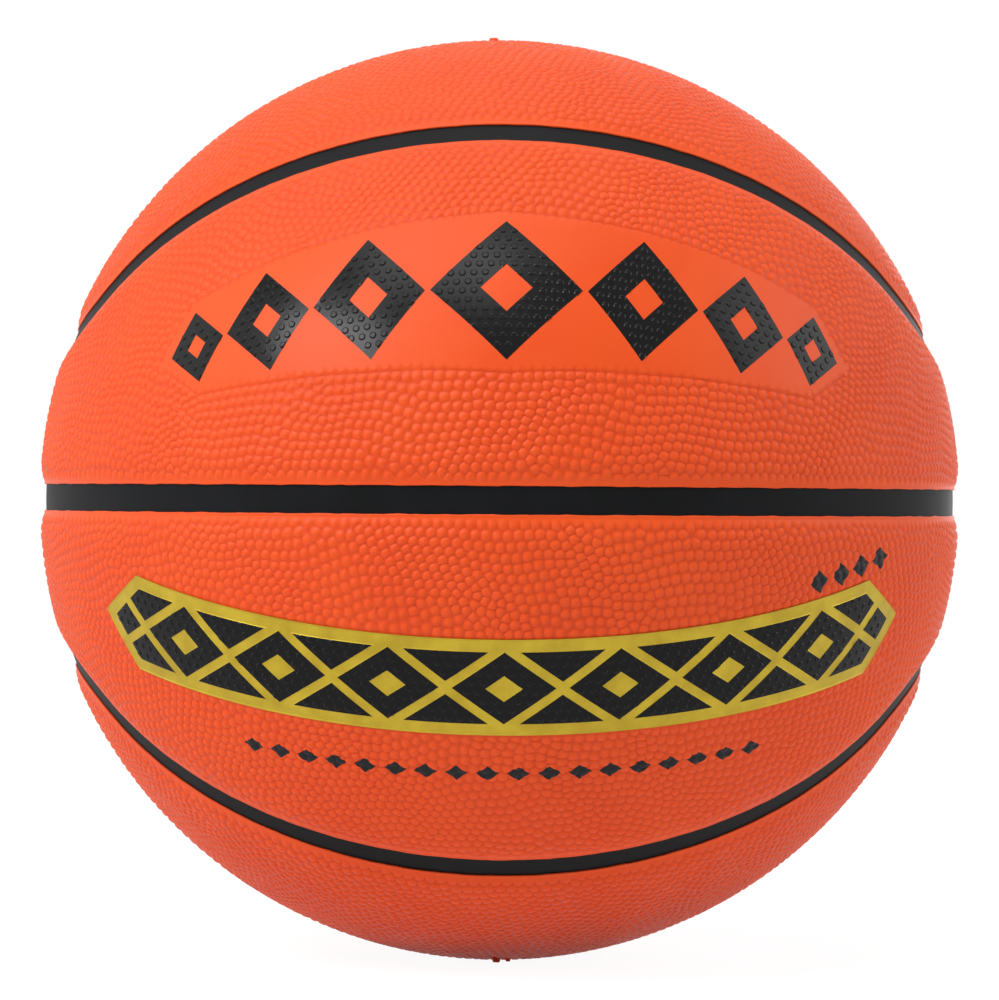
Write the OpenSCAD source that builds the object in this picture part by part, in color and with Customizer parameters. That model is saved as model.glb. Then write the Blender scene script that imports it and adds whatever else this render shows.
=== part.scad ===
// A moulded rubber basketball: bladder, wound layer, carcass, channel strips, eight cover panels and valve.
// The origin is the middle of the ball. Z is the axis of the equator channel. The front faces -Y.
// The panels meet at four seams: the equator, a meridian that runs over both poles from side to side,
// and two ovals, one round each pole, that cross the meridian at the sides.

/* [Ball] */
// Outside diameter over the cover
ball_d = 230.4; // [210:0.2:250]

/* [Seams] */
// Width of the channels between the panels
channel_w = 6.7; // [5.5:0.1:8.5]
// Height of the oval seams over the equator at the front and back, in degrees
oval_front = 49.6; // [47:0.1:51]
// Height of the oval seams over the equator at the sides, in degrees
oval_side = 19.7; // [18.5:0.1:21.5]
// Radius of the tight ends of the oval seams, as an angle at the middle of the ball
oval_end = 24.1; // [22:0.1:27]

/* [Cover panels] */
// Width of the rounded shoulder along each panel's edge
shoulder_w = 6.5; // [5:0.1:8]
// How far the shoulder falls between the ball's surface and the panel's edge
shoulder_drop = 1.35; // [1:0.05:1.6]
// Height of the panel's bare edge over the channel strip
lip_h = 0.3; // [0.2:0.05:0.5]

/* [Layers] */
// Thickness of the black strips that line the channels
strip_t = 0.3; // [0.2:0.05:0.6]
// Thickness of the carcass rubber
carcass_t = 0.5; // [0.4:0.05:1]
// Thickness of the wound nylon thread
winding_t = 0.25; // [0.2:0.05:0.6]
// Thickness of the bladder's wall
bladder_t = 0.6; // [0.5:0.05:1]

/* [Valve] */
// Diameter of the needle passage
needle_d = 2.3; // [2:0.05:2.6]
// Diameter of the disc that shows in the channel
valve_head_d = 6; // [5.6:0.1:6.4]
// Diameter of the opening in that disc, in front of the needle passage
valve_mouth_d = 3; // [2.8:0.1:3.2]
// Thickness of rubber between that disc's face and the core
valve_face_t = 1.2; // [0.8:0.1:2]
// Diameter of the boot's tube
boot_d = 9; // [8.5:0.1:10]
// Thickness of the rubber that closes the inner end of the boot round the passage
boot_end_t = 1.5; // [1:0.1:2.5]
// Diameter of the boot's flange inside the bladder
flange_d = 22; // [18:0.5:26]
// Thickness of that flange
flange_t = 1.2; // [0.8:0.1:2]
// Diameter of the round patch between flange and bladder
patch_d = 32; // [28:0.5:40]
// Thickness of the patch
patch_t = 0.6; // [0.4:0.1:1]
// Diameter of the plug that holds the needle passage
core_d = 4.4; // [4:0.1:5]
// Length of the plug
core_l = 13; // [10:0.5:16]
// Diameter of the collar that locks the plug in its boot
collar_d = 6.2; // [5.6:0.1:6.8]
// Length of the collar
collar_l = 2.4; // [1.6:0.1:4]

/* [Clearances] */
// Gap between one layer and the next
layer_gap = 0.02; // [0.02:0.01:0.1]
// Gap between a channel strip and what its edges and ends meet
strip_gap = 0.03; // [0.02:0.01:0.1]
// Gap round the valve's pieces
valve_gap = 0.04; // [0.02:0.01:0.1]

/* [Hidden] */
$fn = 160;

orange = [0.95, 0.36, 0.19];
black = [0.12, 0.12, 0.13];
butyl = [0.22, 0.22, 0.23];
thread = [0.86, 0.84, 0.78];
carcass_rubber = [0.35, 0.2, 0.16];

// How far a cutting shape runs past what it cuts
overrun = 2;
// The same for each seam. They differ, so that no two of their faces meet where seams cross
equator_overrun = 2;
meridian_overrun = 3;
oval_overrun = 4;
// The meridian's channel is this much larger all round, so that no corner is shared by four faces
meridian_over = 0.03;
// Flats that make up a panel's rounded shoulder
bevels = 3;
// A splice joins two arcs of an oval seam. It is this much larger than the arcs all round
splice_over = 0.01;
// Half the splice's length along the long arc, in degrees
splice_turn = 0.4;
// How far short of the joint each arc stops, in degrees
splice_short = 0.1;
// Corners of the wall that parts crown from side inside the oval channel
parting_corners = 60;

// Radii of the layers, from the outside in
ball_r = ball_d / 2;
floor_r = ball_r - shoulder_drop - lip_h;
strip_in_r = floor_r - strip_t;
carcass_r = strip_in_r - layer_gap;
cover_in_r = strip_in_r;
carcass_in_r = carcass_r - carcass_t;
winding_r = carcass_in_r - layer_gap;
winding_in_r = winding_r - winding_t;
bladder_r = winding_in_r - layer_gap;
bladder_in_r = bladder_r - bladder_t;
patch_r = bladder_in_r - layer_gap;
patch_in_r = patch_r - patch_t;
flange_r = patch_in_r - layer_gap;
flange_in_r = flange_r - flange_t;

// The shoulder is an arc that leaves the ball's surface smoothly, shoulder_angle degrees from the seam
shoulder_r = (shoulder_w * shoulder_w + shoulder_drop * shoulder_drop) / (2 * shoulder_drop);
shoulder_arc_r = 1 / (1 / shoulder_r + 1 / ball_r);
shoulder_arc = asin(shoulder_w / shoulder_arc_r);
shoulder_angle = turn_of(channel_w / 2 + shoulder_w, ball_r);

// An oval seam has two long arcs, front and back, and two tight end arcs at the sides. Each is part of a
// circle drawn round an axis through the middle of the ball, and neighbours run smoothly into each other.
// end_lean is the end arc's axis, tipped from Z towards the side. long_lean is the long arc's, tipped to the back
end_lean = 90 - oval_side - oval_end;
shift = 90 - oval_front - oval_end;
long_lean = atan2(cos(shift) - cos(end_lean), sin(shift));
long_radius = long_lean + 90 - oval_front;
long_turn = atan2(sin(end_lean), cos(end_lean) * sin(long_lean));
end_turn = atan2(sin(long_lean), cos(long_lean) * sin(end_lean));

// Depths along the valve's axis, measured from the middle of the ball
valve_face_y = floor_r;
core_top_y = valve_face_y - valve_face_t;
core_end_y = core_top_y - core_l;
boot_end_y = core_end_y - boot_end_t;
collar_y = (core_top_y + core_end_y) / 2 - collar_l / 2;

// The angle at the middle of a circle for a length along it
function turn_of(along, radius) = along / radius * 180 / PI;

// A hollow ball
module shell(outer, inner) {
    difference() {
        sphere(outer);
        sphere(inner);
    }
}

// A point of the shoulder's section, where the arc has turned by bend degrees
function shoulder_point(bend, grow) =
    let (
        arc_r = shoulder_arc_r - grow,
        x = ball_r - shoulder_arc_r + arc_r * cos(bend),
        y = -arc_r * sin(bend)
    )
    [x * cos(shoulder_angle) - y * sin(shoulder_angle), x * sin(shoulder_angle) + y * cos(shoulder_angle)];

// Section of a channel on the ray that lies along X, with straight walls
module slot_section(width, grow, past) {
    deep = cover_in_r - past - grow;
    translate([deep, -width / 2 - grow])
        square([ball_r + past + grow - deep, width + 2 * grow]);
}

// Section of what is taken off the two panel shoulders beside a channel
module shoulder_section(grow, past) {
    corners = [for (i = [0 : bevels]) shoulder_point(i * shoulder_arc / bevels, grow)];
    proud = 2 * corners[0] - corners[1];
    half = concat([[ball_r + past + grow, proud[1]], proud], corners);
    polygon(concat(half, [for (i = [len(half) - 1 : -1 : 0]) [half[i][0], -half[i][1]]]));
}

// Section that cuts the panels apart, that one strip fills, or of the bare channel
module seam_section(kind, grow, past) {
    if (kind == "strip") {
        slot_section(channel_w - 2 * strip_gap, grow, past);
    } else {
        slot_section(channel_w, grow, past);
        if (kind == "panel")
            shoulder_section(grow, past);
    }
}

// A seam along a great circle round Z
module ring_seam(kind, grow, past) {
    rotate_extrude()
        seam_section(kind, grow, past);
}

// A seam along part of a circle round Z. The arc lies radius degrees from Z, half_turn degrees to each
// side of the direction middle
module arc_seam(kind, radius, middle, half_turn, grow) {
    rotate([0, 0, middle - half_turn])
        rotate_extrude(angle = 2 * half_turn)
            rotate(90 - radius)
                seam_section(kind, grow, oval_overrun);
}

// The front long arc of the upper oval with the splices at its ends
module long_arc(kind) {
    rotate([-long_lean, 0, 0]) {
        arc_seam(kind, long_radius, -90, long_turn - splice_short, 0);
        for (side = [-1, 1])
            arc_seam(kind, long_radius, -90 + side * long_turn, splice_turn, splice_over);
    }
}

// The end arc of the upper oval on the right
module end_arc(kind) {
    rotate([0, end_lean, 0])
        arc_seam(kind, 90 - oval_side - end_lean, 0, end_turn - splice_short, 0);
}

// The upper oval seam as far as the front panels need it
module front_oval(kind) {
    long_arc(kind);
    end_arc(kind);
    mirror([1, 0, 0])
        end_arc(kind);
}

// The whole upper oval seam
module oval_seam(kind) {
    front_oval(kind);
    mirror([0, 1, 0])
        long_arc(kind);
}

// The equator seam
module equator_seam(kind) {
    ring_seam(kind, 0, equator_overrun);
}

// The meridian seam
module meridian_seam(kind) {
    rotate([90, 0, 0])
        ring_seam(kind, kind == "panel" ? meridian_over : 0, meridian_overrun);
}

// The room inside the upper oval, parted from the room outside in the middle of the channel
module inside_oval() {
    middle_r = (ball_r + cover_in_r) / 2;
    linear_extrude(ball_r + overrun)
        polygon([for (i = [0 : parting_corners - 1])
            middle_r * [cos(oval_side) * cos(i * 360 / parting_corners),
                cos(oval_front) * sin(i * 360 / parting_corners)]]);
}

// The upper front quarter of the cover, with only the meridian seam cut. The ball is turned so that its
// own poles lie outside this quarter
module front_quarter() {
    reach = ball_r + overrun;
    difference() {
        intersection() {
            rotate([-45, 0, 0])
                rotate([0, 0, 90])
                    shell(ball_r, cover_in_r);
            translate([-reach, -reach, 0])
                cube([2 * reach, reach, reach]);
        }
        meridian_seam("panel");
    }
}

// The long panel between the equator and the upper oval, at the front. Its seams are cut one by one
module front_panel() {
    difference() {
        difference() {
            difference() {
                front_quarter();
                front_oval("panel");
            }
            inside_oval();
        }
        equator_seam("panel");
    }
}

// The front half of the crown inside the upper oval
module front_crown() {
    intersection() {
        difference() {
            front_quarter();
            front_oval("panel");
        }
        inside_oval();
    }
}

// A layer as thick as the channel strips
module strip_layer() {
    shell(floor_r, strip_in_r);
}

// The meridian's strips, cut off where they meet the equator strip and the upper oval strip
module meridian_strips() {
    difference() {
        intersection() {
            strip_layer();
            meridian_seam("strip");
        }
        equator_seam("slot");
        front_oval("slot");
    }
}

// A hole along the valve's axis, through every layer
module valve_hole(d) {
    reach = ball_r + overrun;
    translate([0, reach / 2, 0])
        rotate([-90, 0, 0])
            cylinder(h = reach, d = d);
}

// A round bar along the valve's axis, from one depth to another
module valve_bar(from_y, to_y, d) {
    translate([0, from_y, 0])
        rotate([-90, 0, 0])
            cylinder(h = to_y - from_y, d = d);
}

module bladder() {
    color(butyl)
        difference() {
            shell(bladder_r, bladder_in_r);
            valve_hole(boot_d + 2 * valve_gap);
        }
}

module valve_patch() {
    color(butyl)
        difference() {
            intersection() {
                shell(patch_r, patch_in_r);
                valve_hole(patch_d);
            }
            valve_hole(boot_d + 2 * valve_gap);
        }
}

module valve_boot() {
    color(black)
        difference() {
            union() {
                intersection() {
                    shell(flange_r, flange_in_r);
                    valve_hole(flange_d);
                }
                intersection() {
                    valve_bar(boot_end_y, valve_face_y, boot_d);
                    sphere(carcass_r);
                }
                valve_bar(boot_end_y, valve_face_y, valve_head_d);
            }
            valve_bar(core_end_y - valve_gap, core_top_y + valve_gap, core_d + 2 * valve_gap);
            valve_bar(collar_y - valve_gap, collar_y + collar_l + valve_gap, collar_d + 2 * valve_gap);
            valve_bar(core_top_y, valve_face_y + overrun, valve_mouth_d);
            valve_bar(boot_end_y - overrun, core_end_y, valve_mouth_d);
        }
}

module valve_core() {
    color("dimgray")
        difference() {
            union() {
                valve_bar(core_end_y, core_top_y, core_d);
                valve_bar(collar_y, collar_y + collar_l, collar_d);
            }
            valve_bar(core_end_y - overrun, core_top_y + overrun, needle_d);
        }
}

module thread_winding() {
    color(thread)
        difference() {
            shell(winding_r, winding_in_r);
            valve_hole(boot_d + 2 * valve_gap);
        }
}

module carcass() {
    color(carcass_rubber)
        difference() {
            shell(carcass_r, carcass_in_r);
            valve_hole(boot_d + 2 * valve_gap);
        }
}

module equator_strip() {
    color(black)
        difference() {
            intersection() {
                strip_layer();
                equator_seam("strip");
            }
            valve_hole(valve_head_d + 2 * valve_gap);
        }
}

module upper_oval_strip() {
    color(black)
        intersection() {
            strip_layer();
            oval_seam("strip");
        }
}

module lower_oval_strip() {
    mirror([0, 0, 1])
        upper_oval_strip();
}

module upper_crown_strip() {
    color(black)
        intersection() {
            meridian_strips();
            inside_oval();
        }
}

module lower_crown_strip() {
    mirror([0, 0, 1])
        upper_crown_strip();
}

module right_upper_strip() {
    reach = ball_r + overrun;
    color(black)
        difference() {
            intersection() {
                meridian_strips();
                translate([0, -reach, 0])
                    cube([reach, 2 * reach, reach]);
            }
            inside_oval();
        }
}

module right_lower_strip() {
    mirror([0, 0, 1])
        right_upper_strip();
}

module left_upper_strip() {
    mirror([1, 0, 0])
        right_upper_strip();
}

module left_lower_strip() {
    mirror([1, 0, 0])
        right_lower_strip();
}

module upper_front_panel() {
    color(orange)
        front_panel();
}

module lower_front_panel() {
    mirror([0, 0, 1])
        upper_front_panel();
}

module upper_back_panel() {
    mirror([0, 1, 0])
        upper_front_panel();
}

module lower_back_panel() {
    mirror([0, 0, 1])
        upper_back_panel();
}

module upper_front_crown() {
    color(orange)
        front_crown();
}

module lower_front_crown() {
    mirror([0, 0, 1])
        upper_front_crown();
}

module upper_back_crown() {
    mirror([0, 1, 0])
        upper_front_crown();
}

module lower_back_crown() {
    mirror([0, 0, 1])
        upper_back_crown();
}

bladder();
valve_patch();
valve_boot();
valve_core();
thread_winding();
carcass();
equator_strip();
upper_oval_strip();
lower_oval_strip();
upper_crown_strip();
lower_crown_strip();
right_upper_strip();
right_lower_strip();
left_upper_strip();
left_lower_strip();
upper_front_panel();
lower_front_panel();
upper_back_panel();
lower_back_panel();
upper_front_crown();
lower_front_crown();
upper_back_crown();
lower_back_crown();
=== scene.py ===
import math
import time
import bpy
import numpy as np
from mathutils import Matrix, Vector
from mathutils.geometry import delaunay_2d_cdt


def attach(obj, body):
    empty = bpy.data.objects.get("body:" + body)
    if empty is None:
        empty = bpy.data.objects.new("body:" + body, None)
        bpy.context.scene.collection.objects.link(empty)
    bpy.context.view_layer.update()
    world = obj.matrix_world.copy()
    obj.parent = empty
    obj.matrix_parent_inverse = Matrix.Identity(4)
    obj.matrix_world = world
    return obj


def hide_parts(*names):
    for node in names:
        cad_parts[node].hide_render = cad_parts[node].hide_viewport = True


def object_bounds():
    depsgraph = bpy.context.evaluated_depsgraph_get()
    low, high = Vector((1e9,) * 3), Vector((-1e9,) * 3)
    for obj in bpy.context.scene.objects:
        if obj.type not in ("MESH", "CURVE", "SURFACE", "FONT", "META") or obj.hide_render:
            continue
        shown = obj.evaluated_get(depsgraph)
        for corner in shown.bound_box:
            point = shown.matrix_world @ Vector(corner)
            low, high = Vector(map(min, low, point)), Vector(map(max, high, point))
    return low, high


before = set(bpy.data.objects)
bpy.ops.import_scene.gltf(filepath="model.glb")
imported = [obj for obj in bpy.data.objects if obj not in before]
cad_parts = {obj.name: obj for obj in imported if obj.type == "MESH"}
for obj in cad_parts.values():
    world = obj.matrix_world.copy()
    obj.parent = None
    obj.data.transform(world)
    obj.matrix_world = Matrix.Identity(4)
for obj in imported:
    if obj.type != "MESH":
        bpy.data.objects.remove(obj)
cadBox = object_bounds()
scene = bpy.context.scene
started = time.time()
print("frame loaded,", len(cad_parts), "nodes")

mm = 0.001  # lengths below are in mm, and meshes are made in metres
hexRow = 0.866  # from row to row of a hexagonal grid, as a share of its pitch

# The ball's sizes, as in the CAD part. The seam places are in degrees
ball = {
    "radius": 115.2,
    "channelWidth": 6.7,
    "shoulderWidth": 6.5,
    "shoulderDrop": 1.35,
    "shoulderSteps": 24,
    "lipHeight": 0.3,
    "stripThickness": 0.3,
    "ovalFront": 49.6,
    "ovalSide": 19.7,
    "ovalEnd": 24.1,
}
ballR = ball["radius"]
floorR = ballR - ball["shoulderDrop"] - ball["lipHeight"]
innerR = floorR - ball["stripThickness"]
halfChannel = ball["channelWidth"] / 2

# Each oval seam is a long arc at the front, one at the back and a tight arc at each side
endLean = math.radians(90 - ball["ovalSide"] - ball["ovalEnd"])
ovalShift = math.radians(90 - ball["ovalFront"] - ball["ovalEnd"])
longLean = math.atan2(math.cos(ovalShift) - math.cos(endLean), math.sin(ovalShift))
longRadius = longLean + math.radians(90 - ball["ovalFront"])
endRadius = math.radians(ball["ovalEnd"])
quarter = math.pi / 2
poleAxis = np.array([0.0, 0.0, 1.0])
frontAxis = np.array([0.0, -1.0, 0.0])
rightAxis = np.array([1.0, 0.0, 0.0])
longAxis = np.array([0.0, math.sin(longLean), math.cos(longLean)])
endAxis = np.array([math.sin(endLean), 0.0, math.cos(endLean)])
leftEndAxis = endAxis * [-1, 1, 1]
joinPlane = np.cross(longAxis, endAxis)  # the arcs meet where this plane cuts them


def unit(v):
    return v / np.linalg.norm(v, axis=-1, keepdims=True)


def dots(a, b):
    return np.einsum("...i,...i->...", a, b)


def size(v):
    return np.linalg.norm(v, axis=-1)


def following(v):
    return np.roll(v, -1, axis=0)


def angleOf(cosine):
    return np.arccos(np.clip(cosine, -1, 1))


def shortWay(turn):
    return (turn + math.pi) % (2 * math.pi) - math.pi


# The rounded shoulder: radius of the cover against the distance from the seam's middle
shoulderR = (ball["shoulderWidth"] ** 2 + ball["shoulderDrop"] ** 2) / (2 * ball["shoulderDrop"])
shoulderArcR = 1 / (1 / shoulderR + 1 / ballR)
bends = np.linspace(math.asin(ball["shoulderWidth"] / shoulderArcR), 0, ball["shoulderSteps"])
arcX = ballR - shoulderArcR + shoulderArcR * np.cos(bends)
arcY = -shoulderArcR * np.sin(bends)
profileT = halfChannel + ball["shoulderWidth"] + np.arctan2(arcY, arcX) * ballR
profileR = np.hypot(arcX, arcY)


def coverRadius(distance):
    return np.interp(distance, profileT, profileR)


# Axis, angular radius and side of each seam round a panel, for each point
def seamCircles(kind, p):
    mirror = np.hstack([np.where(p[:, :1] < 0, -1.0, 1.0), np.ones((len(p), 2))])
    atEnd = (p * mirror) @ joinPlane > 0
    ovalAxis = np.where(atEnd[:, None], endAxis * mirror, longAxis)
    ovalRadius = np.where(atEnd, endRadius, longRadius)
    quarters = np.full(len(p), quarter)
    meridian = (np.tile(frontAxis, (len(p), 1)), quarters, -1)
    if kind == "crown":
        return [meridian, (ovalAxis, ovalRadius, -1)]
    return [(np.tile(poleAxis, (len(p), 1)), quarters, -1), meridian, (ovalAxis, ovalRadius, 1)]


# Distance over the surface from the middle of each seam
def seamDistances(kind, p):
    columns = []
    for axis, radius, sign in seamCircles(kind, p):
        columns.append(sign * (angleOf(dots(p, axis)) - radius) * ballR)
    return np.stack(columns, axis=1)


# The sides of each panel, in order round it, seen from outside
panelSides = {
    "side": [(poleAxis, quarter, -1), (frontAxis, quarter, -1), (endAxis, endRadius, 1),
             (longAxis, longRadius, 1), (leftEndAxis, endRadius, 1), (frontAxis, quarter, -1)],
    "crown": [(longAxis, longRadius, -1), (endAxis, endRadius, -1),
              (frontAxis, quarter, -1), (leftEndAxis, endRadius, -1)],
}
# Roughly where each side ends and the next begins
panelCorners = {
    "side": [(1, -0.1, 0.1), (1, -0.1, 0.3), (0.7, -0.6, 0.6),
             (-0.7, -0.6, 0.6), (-1, -0.1, 0.3), (-1, -0.1, 0.1)],
    "crown": [(0.7, -0.6, 0.6), (1, -0.1, 0.4), (-1, -0.1, 0.4), (-0.7, -0.6, 0.6)],
}
panelMiddles = {"side": unit(np.array([0.0, -1.0, 0.42])), "crown": unit(np.array([0.0, -0.45, 1.0]))}


# Where two offset seams cross, near a rough place
def crossing(sideA, sideB, offset, rough):
    a, b = sideA[0], sideB[0]
    ca = math.cos(sideA[1] + sideA[2] * offset)
    cb = math.cos(sideB[1] + sideB[2] * offset)
    d = a @ b
    base = ((ca - cb * d) * a + (cb - ca * d) * b) / (1 - d * d)
    normal = np.cross(a, b)
    rise = math.sqrt(max(0.0, (1 - base @ base) / (normal @ normal)))
    options = [unit(base + s * rise * normal) for s in (-1, 1)]
    return max(options, key=lambda p: p @ np.array(rough))


# Two directions square to an axis, which turns round it are measured from
def squareTo(axis):
    first = unit(np.cross(axis, [0.3, 0.5, 0.8]))
    return first, np.cross(axis, first)


def turnsRound(axis, p):
    first, second = squareTo(axis)
    return np.arctan2(p @ second, p @ first)


# Where a side of a panel's outline begins, and how far it turns round its own axis
def sideSweep(kind, s, offset):
    sides, corners = panelSides[kind], panelCorners[kind]
    start = crossing(sides[s - 1], sides[s], offset, corners[s - 1])
    end = crossing(sides[s], sides[(s + 1) % len(sides)], offset, corners[s])
    begin, finish = turnsRound(sides[s][0], np.array([start, end]))
    return begin, shortWay(finish - begin)


# Points on a panel's outline: which side, how far along it, and the angle from the seam's middle
def outlinePoints(kind, sides, shares, offset):
    points = np.zeros((len(sides), 3))
    for s, (axis, radius, sign) in enumerate(panelSides[kind]):
        here = sides == s
        begin, sweep = sideSweep(kind, s, offset)
        first, second = squareTo(axis)
        turn = begin + sweep * shares[here]
        reach = radius + sign * offset
        ring = np.cos(turn)[:, None] * first + np.sin(turn)[:, None] * second
        points[here] = axis * math.cos(reach) + math.sin(reach) * ring
    return points


# A flat map that keeps circles round, for triangulating points on the ball
def flatMap(p, middle):
    right = unit(np.cross(poleAxis, middle))
    up = np.cross(middle, right)
    scale = 1 / (1 + p @ middle)
    return np.stack([p @ right * scale, p @ up * scale], axis=1)


def triangulate(flat, loops=(), inside=False):
    faces = [list(loop) for loop in loops]
    points = [Vector(c) for c in flat.tolist()]
    result = delaunay_2d_cdt(points, [], faces, 1 if inside else 0, 1e-9)
    origin = np.array([o[0] if o else -1 for o in result[3]])
    return origin[np.array(result[2])]


def edgesOf(tri):
    return np.vstack([tri[:, [0, 1]], tri[:, [1, 2]], tri[:, [2, 0]]])


# Each pebble is a rounded disc in its own cell. Depths are shares of the height, from its top down
pebbles = {
    "cellArea": 5.5,  # one pebble's share of the surface, mm2
    "edge": 4.15,  # from the seam's middle to the first pebble
    "fadeWidth": 2.6,  # the relief comes in over this distance from the channel
    "height": 0.58,
    "heightSpread": 0.14,
    "sinkShare": 0.5,  # how much of a low pebble's missing height its top has lost
    "discRadius": 1.05,
    "discSpread": 0.06,
    "reachShare": 0.85,  # how far a pebble reaches into its cell
    "footShare": 0.52,  # depth of the disc's rim
    "topShare": 0.1,  # depth of the flat top's edge
    "topReach": 0.56,
    "saddleShare": 0.7,  # depth midway between two pebbles
    "cornerSize": 0.2,  # cell corners closer than this are one corner
    "waves": ((1.6, 9, 7), (1.1, 17, 23), (0.7, 29, 12)),  # of the rows: size, turns round the ball, slope
    "jitter": 0.36,
    "rounds": 9,  # of evening out
    "seamGap": 0.7,  # the first places keep this far inside the edge
    "zoneGap": 0.8,  # and this far outside a smooth zone
    "seamReach": 5.0,  # places this near the edge are mirrored over it
    "zoneReach": 3.6,  # and this near a smooth zone, into it
}
# Places in a smooth zone, which carry its mesh: mirrored pebbles at its edge, and rows inside it
flatPlaces = {"reach": 1.9, "apart": 1.1, "inset": 1.0, "rowGap": 1.7, "jitter": 0.1}


# Side and share along it of points on the edge of the pebbled field
def outlinePlaces(kind, p):
    offset = pebbles["edge"] / ballR
    best = np.full(len(p), np.inf)
    sides = np.zeros(len(p), int)
    shares = np.zeros(len(p))
    for s, (axis, radius, sign) in enumerate(panelSides[kind]):
        begin, sweep = sideSweep(kind, s, offset)
        share = shortWay(turnsRound(axis, p) - begin) / sweep
        past = np.maximum(np.maximum(-share, share - 1), 0) * abs(sweep) * math.sin(radius) * ballR
        miss = np.abs(angleOf(p @ axis) - radius - sign * offset) * ballR + past
        better = miss < best
        best[better] = miss[better]
        sides[better] = s
        shares[better] = np.clip(share[better], 0, 1)
    return sides, shares


# Points mirrored in the edge of the pebbled field, for each seam
def mirroredOverSeams(kind, p):
    edge = pebbles["edge"]
    found = []
    for axis, radius, sign in seamCircles(kind, p):
        along = dots(p, axis)
        angle = angleOf(along)
        near = sign * (angle - radius) * ballR < edge + pebbles["seamReach"]
        target = 2 * (radius + sign * edge / ballR) - angle
        across = unit(p - axis * along[:, None])
        moved = axis * np.cos(target)[:, None] + across * np.sin(target)[:, None]
        found.append(moved[near])
    return np.vstack(found)


# Points in wavy rows round the ball, as the pebbles of a mould are cut
def rowPoints(rng, jitter):
    pitch = math.sqrt(pebbles["cellArea"] / hexRow) / ballR
    rows = round(math.pi / (hexRow * pitch))
    waves = [(tall / ballR, turns, rise, rng.uniform(0, 6.28)) for tall, turns, rise in pebbles["waves"]]
    found = []
    for k in range(rows):
        row = (k + 0.5) * math.pi / rows
        count = max(3, round(2 * math.pi * math.sin(row) / pitch))
        turn = (np.arange(count) + 0.5 * (k % 2)) * 2 * math.pi / count
        polar = row + sum(tall * np.sin(turns * turn + rise * row + start)
                          for tall, turns, rise, start in waves)
        around = np.sin(polar)
        found.append(np.stack([around * np.cos(turn), around * np.sin(turn), np.cos(polar)], axis=1))
    p = np.vstack(found)
    return unit(p + rng.normal(0, jitter / ballR, p.shape))


# Cells round points: triangles, their centres, and the pairs of triangles that share an edge
def cellsOf(points, middle):
    tri = triangulate(flatMap(points, middle))
    a, b, c = points[tri[:, 0]], points[tri[:, 1]], points[tri[:, 2]]
    centres = np.cross(b - a, c - a)
    flip = dots(centres, a + b + c) < 0
    centres = unit(centres)
    centres[flip] *= -1
    edges = edgesOf(tri)
    owner = np.tile(np.arange(len(tri)), 3)
    edges.sort(axis=1)
    order = np.lexsort((edges[:, 1], edges[:, 0]))
    edges, owner = edges[order], owner[order]
    same = np.where((edges[1:] == edges[:-1]).all(axis=1))[0]
    return tri, centres, edges[same], owner[same], owner[same + 1]


# One round of evening out: each point goes to the middle of its cell
def evened(points, ghosts, middle):
    both = np.vstack([points, ghosts])
    tri, centres, edges, s, t = cellsOf(both, middle)
    ends = centres[s] + centres[t]
    weight = size(centres[s] - centres[t]) * size(both[edges[:, 0]] - both[edges[:, 1]])
    total = np.zeros(len(both))
    middleSum = np.zeros((len(both), 3))
    for k in (0, 1):
        np.add.at(total, edges[:, k], weight)
        np.add.at(middleSum, edges[:, k], weight[:, None] * (ends + both[edges[:, k]]))
    return unit(middleSum[: len(points)] / total[: len(points), None])


# A print lies along a tilted circle. Its shapes are drawn in mm: u along the circle, v across it
def circleGuide(lean, radius):
    lean = math.radians(lean)
    axis = np.array([0.0, math.sin(lean), math.cos(lean)])
    return {"axis": axis, "radius": math.radians(radius), "front": np.cross(rightAxis, axis)}


def guideFlat(guide, p):
    v = (guide["radius"] - angleOf(p @ guide["axis"])) * ballR
    u = np.arctan2(p @ rightAxis, p @ guide["front"]) * math.sin(guide["radius"]) * ballR
    return np.stack([u, v], axis=1)


def guideBall(guide, uv):
    turn = uv[:, 0] / (math.sin(guide["radius"]) * ballR)
    reach = guide["radius"] - uv[:, 1] / ballR
    ring = np.sin(turn)[:, None] * rightAxis + np.cos(turn)[:, None] * guide["front"]
    return np.cos(reach)[:, None] * guide["axis"] + np.sin(reach)[:, None] * ring


# A whole outline from its upper right quarter
def mirroredOutline(quarterPoints):
    right = quarterPoints + [(u, -v) for u, v in reversed(quarterPoints) if v != 0]
    return np.array(right + [(-u, v) for u, v in reversed(right) if u != 0], float)


# Signed distance to an outline, below 0 inside it, and the nearest point of it
def outlineDistance(a, uv):
    b = following(a)
    along = b - a
    away = uv[:, None, :] - a[None]
    share = np.clip(dots(away, along[None]) / dots(along, along)[None], 0, 1)
    nearest = a[None] + share[..., None] * along[None]
    gap = size(uv[:, None, :] - nearest)
    pick = gap.argmin(axis=1)
    rows = np.arange(len(uv))
    level = uv[:, None, 1]
    slope = np.where(along[None, :, 1] == 0, 1e-12, along[None, :, 1])
    crosses = ((a[None, :, 1] > level) != (b[None, :, 1] > level)) & (
        uv[:, None, 0] < along[None, :, 0] * (level - a[None, :, 1]) / slope + a[None, :, 0])
    inside = crosses.sum(axis=1) % 2 == 1
    return np.where(inside, -1, 1) * gap[rows, pick], nearest[rows, pick]


def fade(distance):
    s = np.clip((distance - halfChannel) / pebbles["fadeWidth"], 0, 1)
    return s * s * (3 - 2 * s)


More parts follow.
